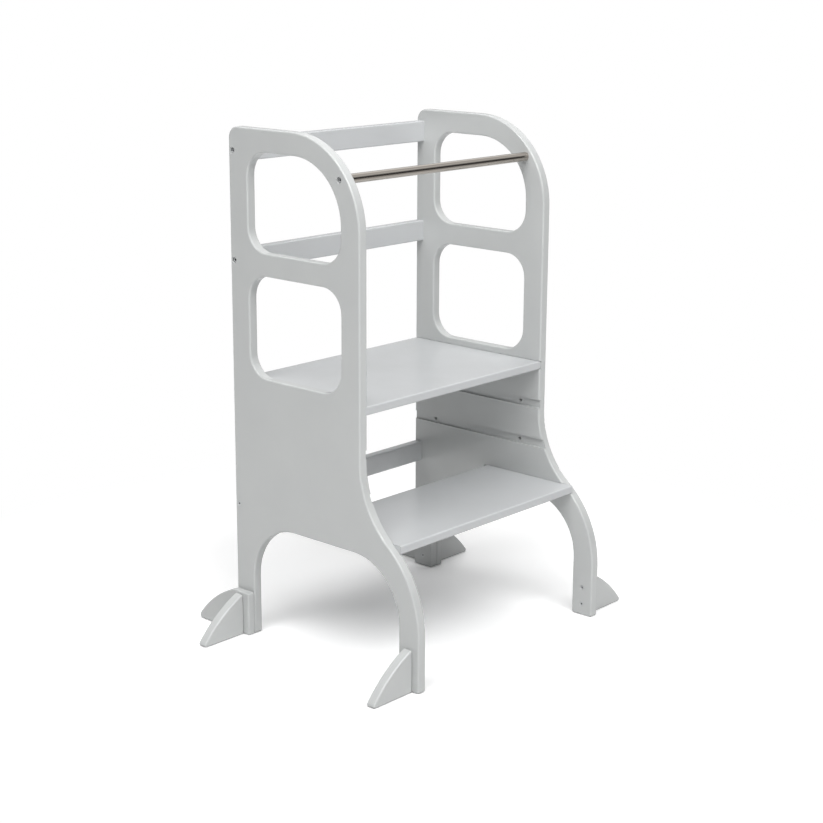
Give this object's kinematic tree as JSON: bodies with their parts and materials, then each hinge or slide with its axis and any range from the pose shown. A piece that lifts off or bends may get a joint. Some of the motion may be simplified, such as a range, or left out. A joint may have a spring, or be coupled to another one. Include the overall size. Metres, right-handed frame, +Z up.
{
  "type": "toddler kitchen helper stool",
  "caption": "Wooden learning tower: shaped side panels with windows, a standing platform and lower step in grooves, rear slats, a steel front rail and anti-tip fins on the feet.",
  "frame": {"origin": "on the floor, under the middle of the footprint over the tips of all fins", "axes": "+Z is up; -Y is the open front with the steel rail, where the child climbs in; +Y is the slatted back; +X is to the right, seen by the child who climbs in"},
  "size_m": [0.704, 0.526, 0.9],
  "materials": {
    "painted_board": "satin light grey paint",
    "steel_tube": "brushed along the tube",
    "plated_steel": "zinc plated",
    "bare_wood": "unfinished"
  },
  "bodies": {
    "root": {"left_side_panel": "painted_board", "right_side_panel": "painted_board", "platform": "painted_board", "step": "painted_board", "top_slat": "painted_board", "middle_slat": "painted_board", "lower_slat": "painted_board", "front_rail": "steel_tube", "left_heel_fin": "painted_board", "right_heel_fin": "painted_board", "left_front_fin": "painted_board", "right_front_fin": "painted_board", "left_rear_fin": "painted_board", "right_rear_fin": "painted_board", "left_slat_screws": "plated_steel", "right_slat_screws": "plated_steel", "left_slat_sleeves": "plated_steel", "right_slat_sleeves": "plated_steel", "left_slat_pins": "bare_wood", "right_slat_pins": "bare_wood", "left_rail_screw": "plated_steel", "right_rail_screw": "plated_steel", "left_rail_plug": "plated_steel", "right_rail_plug": "plated_steel", "left_platform_pins": "bare_wood", "right_platform_pins": "bare_wood", "left_step_pins": "bare_wood", "right_step_pins": "bare_wood", "left_front_fin_screws": "plated_steel", "right_front_fin_screws": "plated_steel", "left_rear_fin_screws": "plated_steel", "right_rear_fin_screws": "plated_steel", "left_lower_slat_screw": "plated_steel", "right_lower_slat_screw": "plated_steel"}
  },
  "joints": []
}
